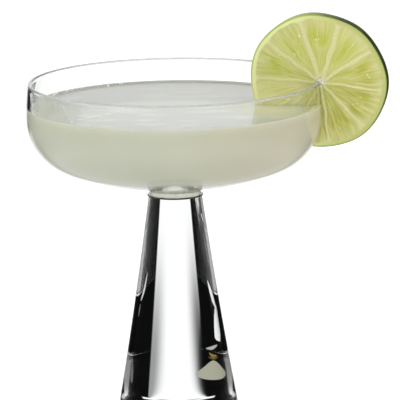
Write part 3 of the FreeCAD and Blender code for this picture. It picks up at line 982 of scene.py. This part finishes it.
bottom, top = wall_turn(film_outside, LEVEL), wall_turn(film_outside, FILM_TOP)
start = LIP_CENTRE + film_outside * math.cos(bottom)
film = pen_down(start, LEVEL)
pen_arc(film, (LIP_CENTRE, WIDEST), top - bottom, 10)
bottom_in, top_in = wall_turn(film_inside, LEVEL), wall_turn(film_inside, FILM_TOP)
pen_line(film, LIP_CENTRE + film_inside * math.cos(top_in), FILM_TOP)
pen_arc(film, (LIP_CENTRE, WIDEST), bottom_in - top_in, 10)
pen_line(film, start, LEVEL)
bpy.ops.mesh.select_all(action="SELECT")
bpy.ops.mesh.remove_doubles(threshold=SAME_PLACE)
bpy.ops.mesh.spin(
    steps=60, angle=-math.radians(FILM_TO - FILM_FROM), center=(0, 0, 0), axis=(0, 0, 1)
)
bpy.ops.mesh.select_all(action="SELECT")
bpy.ops.mesh.remove_doubles(threshold=SAME_PLACE)
bpy.ops.mesh.fill_holes(sides=0)
bpy.ops.mesh.normals_make_consistent(inside=False)
leave_edit()
film.rotation_euler.z = math.radians(180 + FILM_FROM)
bpy.ops.object.shade_smooth_by_angle(angle=math.radians(40))
finish_piece(film, "drink_film")

# %% [markdown]
# The film thins out at both ends and at its top edge, with a border that runs in
# drips. So its material lets through what is behind it by its turn round the
# glass, read from its place, and by its height. It also glows a little in its own
# colour, which is painted light.

# %% Film material
thin_film, add = new_material("film_of_lime_juice")
coordinates = add("ShaderNodeTexCoord").outputs["Object"]
parts = add("ShaderNodeSeparateXYZ", Vector=coordinates).outputs
left = add(*MULTIPLY, parts["X"], -1.0)
ahead = add(*MULTIPLY, parts["Y"], -1.0)
turn = add(*ARCTAN2, ahead, left)
turn = add(*DEGREES, turn)
drips = add("ShaderNodeTexNoise", Vector=coordinates, Scale=1 / (4 * MM), Detail=3.0)
sway = add(*SMOOTH_RUN, drips, 0.3, 0.7, -4.0, 4.0)
turn = add(*ADD, turn, sway)
near_end = add(*SMOOTH_RUN, turn, 16.0, 24.0)
far_end = add(*SMOOTH_RUN, turn, 58.0, 24.0)
under = add(*SMOOTH_RUN, parts["Z"], FILM_TOP * MM, (FILM_TOP - 1.5) * MM)
cover = near_end
for share in (far_end, under, 0.92):
    cover = add(*MULTIPLY, cover, share)
dripping = add(*SMOOTH_RUN, drips, 0.35, 0.65)
milk = add(*COLOUR_MIX, dripping, "d4d6c9", "dcddd2")
shader = add(
    "ShaderNodeBsdfPrincipled",
    Base_Color=milk,
    Roughness=0.2,
    IOR=DRINK_IOR,
    Alpha=cover,
    Emission_Color=milk,
    Emission_Strength=0.26,
)
coat(film, thin_film, shader)
print("film from", FILM_FROM, "to", FILM_TO, "degrees round the wall")

# %% [markdown]
# Foam is many small bubbles. One round bubble of few faces is modelled, a little
# flattened as it floats. Every copy gets its own mesh, place and size, from a
# seeded draw, and all are joined into one piece. Most sit where the drink climbs
# the wall at the left, and a line of fine ones was left by the pour.

# %% Foam bubbles
FOAM_BUBBLES = 150
STREAK_BUBBLES = 60
BUBBLE_SMALL, BUBBLE_LARGE = 0.1, 0.42
FOAM_FROM, FOAM_SPREAD, FOAM_WIDTH = 176, 66, 1.4
STREAK_FROM, STREAK_TO, STREAK_SPREAD = Vector((-34, -28)), Vector((-17, -10)), 0.25
random.seed(7)
clear_selection()
bpy.ops.mesh.primitive_uv_sphere_add(segments=8, ring_count=6, radius=MM)
bubble = bpy.context.object
bpy.ops.object.shade_smooth()
edit(bubble)
bpy.ops.transform.resize(value=(1, 1, 0.8))
leave_edit()
wall_here = LIP_CENTRE + (LIP_RADIUS - WALL) * math.cos(wall_turn(LIP_RADIUS - WALL, LEVEL))
spots = []
for index in range(FOAM_BUBBLES):
    # Most bubbles gather near the left end, and thin out towards the back.
    azimuth = math.radians(FOAM_FROM - FOAM_SPREAD * random.random() ** 2.2)
    size = BUBBLE_SMALL + (BUBBLE_LARGE - BUBBLE_SMALL) * random.random() ** 2.5
    out = wall_here - size - FOAM_WIDTH * random.random() ** 2
    lift = 0.5 * max(1 - (wall_here - out) / FOAM_WIDTH, 0) + 0.3 * size
    spots.append((out * math.cos(azimuth), out * math.sin(azimuth), LEVEL + lift, size))
for index in range(STREAK_BUBBLES):
    x, y = STREAK_FROM.lerp(STREAK_TO, index / STREAK_BUBBLES)
    x += random.gauss(0, STREAK_SPREAD)
    y += random.gauss(0, STREAK_SPREAD)
    spots.append((x, y, LEVEL + 0.05, BUBBLE_SMALL * random.uniform(1.2, 2.4)))
copies = []
for x, y, z, size in spots:
    copy = bubble.copy()
    copy.data = bubble.data.copy()
    copy.data.transform(Matrix.Translation(Vector((x, y, z)) * MM) @ Matrix.Scale(size, 4))
    bpy.context.scene.collection.objects.link(copy)
    copies.append(copy)
clear_selection()
bpy.data.objects.remove(bubble)
for copy in copies:
    copy.select_set(True)
foam = copies[0]
bpy.context.view_layer.objects.active = foam
bpy.ops.object.join()
finish_piece(foam, "foam_bubbles")
print(len(spots), "bubbles")

# %% [markdown]
# Each bubble is a clear skin, but so many lie together that foam looks white. Its
# white also glows a little, which is painted light.

# %% Foam material
foam_skin, add = new_material("fine_white_foam")
coordinates = add("ShaderNodeTexCoord").outputs["Object"]
froth = add("ShaderNodeTexNoise", Vector=coordinates, Scale=1 / (2 * MM))
frothy = add(*SMOOTH_RUN, froth, 0.35, 0.65)
white = add(*COLOUR_MIX, frothy, "dfe0d8", "f6f6f0")
shader = add(
    "ShaderNodeBsdfPrincipled",
    Base_Color=white,
    Roughness=0.15,
    IOR=DRINK_IOR,
    Emission_Color=white,
    Emission_Strength=0.2,
    Subsurface_Weight=0.5,
    Subsurface_Scale=1.0 * MM,
)
coat(foam, foam_skin, shader)

# %% [markdown]
# ## Floor
# A plain white sheet that runs out of sight, just under the foot. It gives off a
# little light of its own, so that it stays as white as the light around it.

# %% Floor
FLOOR_GAP = 0.2
FLOOR_SIZE = 4000.0
clear_selection()
bpy.ops.mesh.primitive_circle_add(
    vertices=64, radius=FLOOR_SIZE * MM, fill_type="NGON", location=(0, 0, -FLOOR_GAP * MM)
)
floor = bpy.context.object
floor.name = "floor"
floor.visible_glossy = False
white_sheet, add = new_material("white_paper_floor")
fibres = add(
    "ShaderNodeTexNoise", Vector=add("ShaderNodeTexCoord").outputs["Object"], Scale=1 / (2 * MM)
)
shader = add(
    "ShaderNodeBsdfPrincipled",
    Base_Color="f5f5f5",
    Roughness=add(*SMOOTH_RUN, fibres, 0.3, 0.7, 0.55, 0.65),
    Emission_Color=(1.0, 1.0, 1.0, 1.0),
    Emission_Strength=0.25,
)
coat(floor, white_sheet, shader)
print("floor", FLOOR_GAP, "mm under the foot")

# %% [markdown]
# ## Black and white cards
# Clear glass is only seen by what it bends into view. In a studio, black cards
# are laid beside a glass, just out of view, so that the solid stem shows dark
# edges on a white stripe. One round card lies under the foot here, with black
# wedges between four white ways, and only light that has come through glass
# sees it.

# %% Round card with black wedges
CARD_HOLE = 21.5
CARD_SIZE = 230.0
CARD_HEIGHT = 0.1
clear_selection()
bpy.ops.mesh.primitive_circle_add(
    vertices=96, radius=CARD_HOLE * MM, location=(0, 0, CARD_HEIGHT * MM)
)
card = bpy.context.object
edit(card)
bpy.ops.mesh.extrude_region_move()
bpy.ops.transform.resize(value=(CARD_SIZE / CARD_HOLE, CARD_SIZE / CARD_HOLE, 1))
leave_edit()
work_on(card)
bpy.ops.object.transform_apply(location=True, rotation=True, scale=True)
card.name = "round_card"


def only_through_glass(stage_piece):
    """Hides a stage piece from all but light that has come through glass."""
    stage_piece.visible_camera = False
    stage_piece.visible_diffuse = False
    stage_piece.visible_glossy = False
    stage_piece.visible_shadow = False


only_through_glass(card)
print("round card from", CARD_HOLE, "to", CARD_SIZE, "mm")

# %% [markdown]
# The card's pattern is nearly the same in all four quarters, so it is drawn from
# each place's distances to the two axes. A white way opens from its apex like a
# fan, with soft edges on the left and crisp ones on the right.

# %% White ways on the card
WEDGE_APEX = 26.5
WEDGE_START = (28.5, 30.0)
WEDGE_CRISP = 3.0
SIDE_START = 22.0
card_paper, add = new_material("black_and_white_card")
coordinates = add("ShaderNodeTexCoord").outputs["Object"]
parts = add("ShaderNodeSeparateXYZ", Vector=coordinates).outputs
aside = add(*ABSOLUTE, parts["X"])
along = add(*ABSOLUTE, parts["Y"])
near = add(*ADD, aside, along)
right = add(*SMOOTH_RUN, parts["X"], -1 * MM, 1 * MM)
haze = add(*SMOOTH_RUN, near, 30 * MM, 130 * MM, 16.0, 2.5)
softness = add(*VALUE_MIX, right, haze, WEDGE_CRISP)
edge = add(*SMOOTH_RUN, right, 0.0, 1.0, *WEDGE_START)
shading = add(*SMOOTH_RUN, near, 60 * MM, 260 * MM, 1.0, 0.15)
side_shading = add(*SMOOTH_RUN, right, 0.0, 1.0, 0.85, 0.62)
shading = add(*MULTIPLY, shading, side_shading)


def white_way(forward, sideways, edge):
    """The share of white in a way that opens from its apex along one axis. It is
    shaded towards its edges, and has a white spot at its apex."""
    past_apex = add(*SUBTRACT, forward, WEDGE_APEX * MM)
    turn = add(*ARCTAN2, sideways, past_apex)
    turn = add(*DEGREES, turn)
    inner_edge = add(*SUBTRACT, edge, softness)
    way = add(*SMOOTH_RUN, turn, inner_edge, edge, 1.0, 0.0)
    outwards = add(*SMOOTH_RUN, turn, 5.0, 24.0)
    shade = add(*MULTIPLY, shading, outwards)
    lit = add(*SUBTRACT, 1.0, shade)
    way = add(*MULTIPLY, way, lit)
    to_apex = add(*ABSOLUTE, past_apex)
    to_apex = add(*ADD, to_apex, sideways)
    spot = add(*SMOOTH_RUN, to_apex, 1.0 * MM, 0.5 * MM, 0.0, 0.9)
    return add(*MAXIMUM, way, spot)


long_ways = white_way(along, aside, edge)
side_ways = white_way(aside, along, SIDE_START)
white = add(*MAXIMUM, long_ways, side_ways)
print("black wedges from", WEDGE_START, "degrees")

# %% [markdown]
# In between, the wedges are black behind the glass, and further out and in front
# a clouded white way runs slantwise.

# %% Slanting ways on the card
CREASE_SIZE = 24.0
creases = add(
    "ShaderNodeTexNoise",
    Vector=coordinates,
    Scale=1 / (CREASE_SIZE * MM),
    Detail=3.0,
    Distortion=1.2,
)
bearing = add(*ARCTAN2, aside, along)
bearing = add(*DEGREES, bearing)
aslant = add(*SUBTRACT, bearing, 45.0)
aslant = add(*ABSOLUTE, aslant)
behind = add(*SMOOTH_RUN, parts["Y"], -1 * MM, 1 * MM)
far_out = add(*SMOOTH_RUN, near, 210 * MM, 270 * MM, 0.1, 1.0)
back_strength = add(*VALUE_MIX, right, far_out, 0.02)
slant_way = add(*VALUE_MIX, behind, 1.0, back_strength)
slantwise = add(*SMOOTH_RUN, aslant, 10.0, 5.0)
clouds = add(*SMOOTH_RUN, creases, 0.35, 0.6, 0.3, 1.0)
clear_of_foot = add(*SMOOTH_RUN, near, 40 * MM, 70 * MM)
for share in (slantwise, clouds, clear_of_foot):
    slant_way = add(*MULTIPLY, slant_way, share)
white = add(*MAXIMUM, white, slant_way)
strength = add(*SMOOTH_RUN, white, 0.0, 1.0, 0.004, 1.05)
glow = add("ShaderNodeEmission", Strength=strength)
coat(card, card_paper, glow)

# %% [markdown]
# Small scraps of white, grey and green card on the wedges make the streaks and
# the pale oval that show low in the stem. Each has the outline of a leaf: it
# swells by a sine between its two ends, may be bowed and lean, and is slightly
# ragged. A formula draws that better than a hand, so its points are worked out.

# %% Leaf-shaped cards
LEAF_STEPS = 24
LEAF_HEIGHT = 0.3


def lay_leaf(name, start, end, width, bow, colour, lean=0.0, ragged=0.2):
    """Lays a small leaf-shaped card from start to end, in millimetres."""
    start, end = Vector((*start, LEAF_HEIGHT)), Vector((*end, LEAF_HEIGHT))
    along = end - start
    across = Vector((-along.y, along.x, 0)).normalized()
    points = []
    for side in (1, -1):
        for step in range(LEAF_STEPS):
            part = step / LEAF_STEPS if side > 0 else 1 - step / LEAF_STEPS
            swell = math.sin(math.pi * part)
            sway = 1 + ragged * noise.noise(Vector((part * 5, side, width)))
            aside = bow * swell + side * width / 2 * swell**0.7 * sway
            onward = part + lean * aside / along.length
            points.append((start + along * onward + across * aside) * MM)
    mesh = bpy.data.meshes.new(name)
    mesh.from_pydata(points, [], [range(len(points))])
    piece = bpy.data.objects.new(name, mesh)
    bpy.context.scene.collection.objects.link(piece)
    material, add = new_material(name)
    shine = add("ShaderNodeEmission", Color=colour)
    coat(piece, material, shine)
    only_through_glass(piece)


lay_leaf("green_leaf", (-4.9, 45), (-13.7, 26.9), 12.6, -3.6, "acac9a", 0.42, 0.0)
lay_leaf("slash_leaf", (-123, 95), (-120, 62), 5, -2, "e8e8e8")
lay_leaf("great_leaf", (-66, 80), (-54, 38), 8, 0, "ffffff")
lay_leaf("low_leaf", (-56, 34), (-31, 50), 24, 0, "ffffff")
lay_leaf("sheen_leaf", (-108, 86), (-84, 60), 9, 0, "6c6c6c")
lay_leaf("cross_leaf", (-18, 57), (-28, 44), 2.5, 0, "b8b8b0")
lay_leaf("gold_leaf", (-18, 52), (-21, 42), 2.2, 1, "8a7840")
lay_leaf("brown_leaf", (-15.5, 50.5), (-21, 40), 1.2, 1, "6c5c30")
lay_leaf("left_leaf", (71, 88), (59, 52), 5, -2, "e0e0e0")
lay_leaf("left_high_leaf", (110, 56), (90, 64), 4, 0, "c0c0c0")
lay_leaf("left_low_leaf", (57, 52), (49, 44), 4, 0, "909090")
lay_leaf("smoke_leaf", (24, 30), (8, 27), 5, 0, "747474")
lay_leaf("far_card", (-300, 420), (-260, 920), 330, 0, "101010")
print("leaf cards lie", LEAF_HEIGHT, "mm above the foot's underside")

# %% [markdown]
# ## Light
# Soft white light from all round, as in a tent of white cloth. Glass needs more
# than that: what its surface mirrors and what it bends into view is white
# straight on and overhead and dark in between, which draws its edges. So the
# tent's strength depends on how a ray came to see it, and in which direction.

# %% Studio light
DARK_MIRROR = 0.03
DARK_THROUGH = 0.5
world = bpy.data.worlds.new("studio_tent")
bpy.context.scene.world = world
world.use_nodes = True
add = functools.partial(add_node, world.node_tree)
tent = world.node_tree.nodes["Background"]
direction = add("ShaderNodeTexCoord").outputs["Generated"]
parts = add("ShaderNodeSeparateXYZ", Vector=direction).outputs
height = add(*ABSOLUTE, parts["Z"])
aside = add(*ABSOLUTE, parts["X"])
along = add(*ABSOLUTE, parts["Y"])
path = add("ShaderNodeLightPath").outputs
# What the surface mirrors: a white sheet behind, and white overhead.
wide = add(*SMOOTH_RUN, parts["Y"], 0.82, 0.92, DARK_MIRROR, 1.0)
narrow = add(*SMOOTH_RUN, parts["Y"], 0.93, 0.975, DARK_MIRROR, 1.0)
downwards = add(*SMOOTH_RUN, parts["Z"], -0.2, -0.26)
back = add(*VALUE_MIX, downwards, narrow, wide)
above = add(*SMOOTH_RUN, height, 0.35, 0.6)
mirrored = add(*MAXIMUM, back, above)
# What the glass bends into view: white panels straight ahead and to the sides.
least = add(*MINIMUM, aside, along)
most = add(*MAXIMUM, aside, along)
slant = add(*DIVIDE, least, most)
panel = add(*SMOOTH_RUN, slant, 0.5, 0.7, 1.0, 0.0)
dimmed = add(*SMOOTH_RUN, parts["Z"], 0.12, 0.2, 1.0, 0.25)
ended = add(*SMOOTH_RUN, parts["Z"], 0.35, 0.45, 1.0, 0.0)
low = add(*MULTIPLY, dimmed, ended)
bent = add(*MULTIPLY, panel, low)
straight = add(*LESS_THAN, path["Glossy Depth"], 0.5)
straight = add(*MULTIPLY, straight, DARK_THROUGH)
bent = add(*MAXIMUM, bent, straight)
soft = add(*GREATER_THAN, path["Diffuse Depth"], 0.5)
level = add(*VALUE_MIX, path["Is Glossy Ray"], 1.0, mirrored)
level = add(*VALUE_MIX, path["Is Transmission Ray"], level, bent)
level = add(*VALUE_MIX, soft, level, 1.0)
world.node_tree.links.new(level.outputs[0], tent.inputs["Strength"])
tent.inputs["Color"].default_value = (1, 1, 1, 1)
bpy.context.scene.view_settings.view_transform = "Standard"
print("studio tent is lit")

# %% [markdown]
# ## Camera
# It stands in front of the glass, a little above the rim, so that the rim and the
# drink's surface show as narrow ovals. A long lens from far away keeps the glass
# upright and free of strong perspective. The glass leans a trace in the frame, as
# it does when a camera isn't quite level.

# %% Camera
CAMERA_DISTANCE = 1500.0
CAMERA_ELEVATION = math.radians(9.58)
CAMERA_ROLL = math.radians(0.87)
AIM_RIGHT = 8.31
AIM_BELOW = 40.38
FRAME_WIDTH = 135.19
SENSOR_WIDTH = 36.0
cos, sin = math.cos(CAMERA_ELEVATION), math.sin(CAMERA_ELEVATION)
rim_centre = Vector((0, 0, RIM)) * MM
across_up = Vector((0, sin, cos))
aim = rim_centre + (Vector((1, 0, 0)) * AIM_RIGHT - across_up * AIM_BELOW) * MM
place = rim_centre + Vector((0, -cos, sin)) * CAMERA_DISTANCE * MM
turn = (aim - place).to_track_quat("-Z", "Y").to_matrix() @ Matrix.Rotation(-CAMERA_ROLL, 3, "Z")
clear_selection()
bpy.ops.object.camera_add(location=place, rotation=turn.to_euler())
camera = bpy.context.object
camera.data.sensor_width = SENSOR_WIDTH
camera.data.lens = SENSOR_WIDTH * (aim - place).length / (FRAME_WIDTH * MM)
camera.data.clip_end = 50
bpy.context.scene.camera = camera
print("lens", round(camera.data.lens, 1), "mm")
